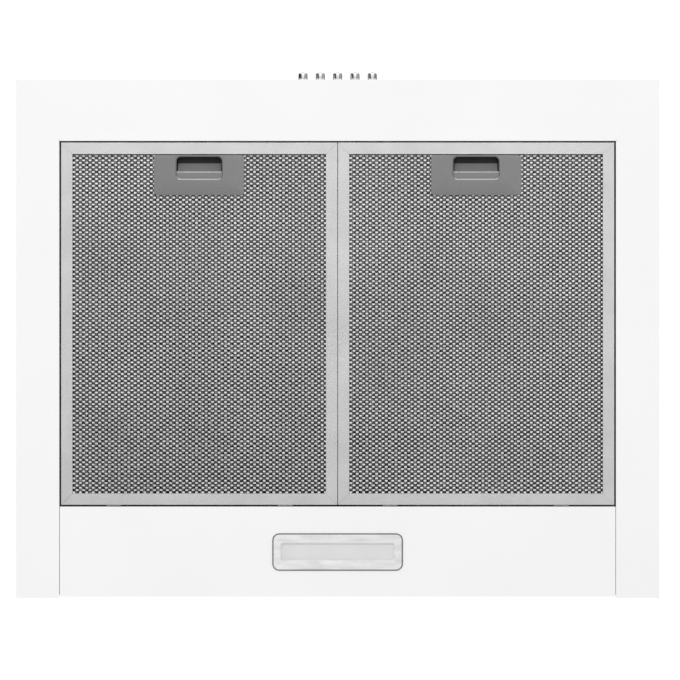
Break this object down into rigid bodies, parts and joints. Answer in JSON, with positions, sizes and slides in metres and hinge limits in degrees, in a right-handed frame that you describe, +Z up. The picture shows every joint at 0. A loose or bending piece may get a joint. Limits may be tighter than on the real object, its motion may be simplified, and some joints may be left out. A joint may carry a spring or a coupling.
{
  "type": "under cabinet range hood",
  "caption": "Low canopy hood for under a wall cabinet: folded steel shell, latched grease filters, rear lamp, front push buttons, centrifugal blower and a top duct collar with damper flaps.",
  "frame": {"origin": "middle of the top rear edge: where the plane of the cabinet's underside meets the wall plane", "axes": "+Z up out of the top face into the cabinet, +Y into the wall, +X to the right seen from the front"},
  "size_m": [0.598, 0.4915, 0.1998],
  "materials": {
    "painted_steel": "satin",
    "aluminium": "satin",
    "aluminium_mesh": "satin",
    "chrome": "polished",
    "zinc_steel": "satin",
    "grey_plastic": "satin",
    "black_plastic": "satin",
    "white_plastic": "satin",
    "frosted_plastic": "matte",
    "circuit_board": "satin",
    "cable_jacket": "satin"
  },
  "bodies": {
    "hood": {"front_panel": "painted_steel", "left_side_panel": "painted_steel", "right_side_panel": "painted_steel", "top_cover": "painted_steel", "back_panel": "painted_steel", "light_panel": "painted_steel", "light_panel_screw_left": "zinc_steel", "light_panel_screw_right": "zinc_steel", "collar_screw_left": "zinc_steel", "collar_screw_right": "zinc_steel", "button_off_spring": "zinc_steel", "button_speed_1_spring": "zinc_steel", "button_speed_2_spring": "zinc_steel", "button_speed_3_spring": "zinc_steel", "button_light_spring": "zinc_steel", "switch_bracket": "zinc_steel", "motor_body": "zinc_steel", "damper_pin": "zinc_steel", "junction_box": "grey_plastic", "junction_box_lid": "grey_plastic", "switch_body": "black_plastic", "blower_housing": "black_plastic", "blower_inlet_cover": "black_plastic", "outlet_collar": "black_plastic", "cable_gland": "black_plastic", "lamp_bezel": "white_plastic", "lamp_housing": "white_plastic", "motor_capacitor": "white_plastic", "led_driver": "white_plastic", "lamp_diffuser": "frosted_plastic", "led_board": "circuit_board", "lamp_cable": "cable_jacket", "motor_cable": "cable_jacket", "switch_cable": "cable_jacket"},
    "left_filter": {"left_filter_frame": "aluminium", "left_filter_outer_mesh": "aluminium_mesh", "left_filter_core": "aluminium_mesh", "left_filter_back_mesh": "aluminium_mesh", "left_handle_cover": "grey_plastic", "left_handle_base": "black_plastic", "left_latch_spring": "zinc_steel"},
    "left_latch": {"left_latch_slider": "grey_plastic"},
    "right_filter": {"right_filter_frame": "aluminium", "right_filter_outer_mesh": "aluminium_mesh", "right_filter_core": "aluminium_mesh", "right_filter_back_mesh": "aluminium_mesh", "right_handle_cover": "grey_plastic", "right_handle_base": "black_plastic", "right_latch_spring": "zinc_steel"},
    "right_latch": {"right_latch_slider": "grey_plastic"},
    "button_off": {"button_off": "chrome"},
    "button_speed_1": {"button_speed_1": "chrome"},
    "button_speed_2": {"button_speed_2": "chrome"},
    "button_speed_3": {"button_speed_3": "chrome"},
    "button_light": {"button_light": "chrome"},
    "fan": {"impeller": "black_plastic", "motor_shaft": "zinc_steel", "impeller_nut": "zinc_steel"},
    "front_damper": {"damper_flap_front": "black_plastic"},
    "rear_damper": {"damper_flap_rear": "black_plastic"}
  },
  "joints": [
    {"name": "left_filter_swing", "type": "hinge", "parent": "hood", "child": "left_filter", "pos_m": [-0.1288, -0.085, -0.1395], "axis": [1, 0, 0], "range_deg": [0, 60]},
    {"name": "left_latch_slide", "type": "slide", "parent": "left_filter", "child": "left_latch", "axis": [0, 1, 0], "range_m": [0, 0.005], "stiffness_N_per_m": 350, "springref_m": -0.003, "deforming": ["left_latch_spring"]},
    {"name": "right_filter_swing", "type": "hinge", "parent": "hood", "child": "right_filter", "pos_m": [0.1288, -0.085, -0.1395], "axis": [1, 0, 0], "range_deg": [0, 60]},
    {"name": "right_latch_slide", "type": "slide", "parent": "right_filter", "child": "right_latch", "axis": [0, 1, 0], "range_m": [0, 0.005], "stiffness_N_per_m": 350, "springref_m": -0.003, "deforming": ["right_latch_spring"]},
    {"name": "button_off_press", "type": "slide", "parent": "hood", "child": "button_off", "axis": [0, 1, 0], "range_m": [0, 0.004], "stiffness_N_per_m": 300, "springref_m": -0.003, "deforming": ["button_off_spring"]},
    {"name": "button_speed_1_press", "type": "slide", "parent": "hood", "child": "button_speed_1", "axis": [0, 1, 0], "range_m": [0, 0.004], "stiffness_N_per_m": 300, "springref_m": -0.003, "deforming": ["button_speed_1_spring"]},
    {"name": "button_speed_2_press", "type": "slide", "parent": "hood", "child": "button_speed_2", "axis": [0, 1, 0], "range_m": [0, 0.004], "stiffness_N_per_m": 300, "springref_m": -0.003, "deforming": ["button_speed_2_spring"]},
    {"name": "button_speed_3_press", "type": "slide", "parent": "hood", "child": "button_speed_3", "axis": [0, 1, 0], "range_m": [0, 0.004], "stiffness_N_per_m": 300, "springref_m": -0.003, "deforming": ["button_speed_3_spring"]},
    {"name": "button_light_press", "type": "slide", "parent": "hood", "child": "button_light", "axis": [0, 1, 0], "range_m": [0, 0.004], "stiffness_N_per_m": 300, "springref_m": -0.003, "deforming": ["button_light_spring"]},
    {"name": "fan_spin", "type": "hinge", "parent": "hood", "child": "fan", "pos_m": [-0.118, -0.167, -0.075], "axis": [0, 0, 1], "continuous": true},
    {"name": "front_damper_swing", "type": "hinge", "parent": "hood", "child": "front_damper", "pos_m": [0, -0.1, 0.0023], "axis": [-1, 0, 0], "range_deg": [0, 80]},
    {"name": "rear_damper_swing", "type": "hinge", "parent": "hood", "child": "rear_damper", "pos_m": [0, -0.1, 0.0023], "axis": [1, 0, 0], "range_deg": [0, 80]}
  ]
}
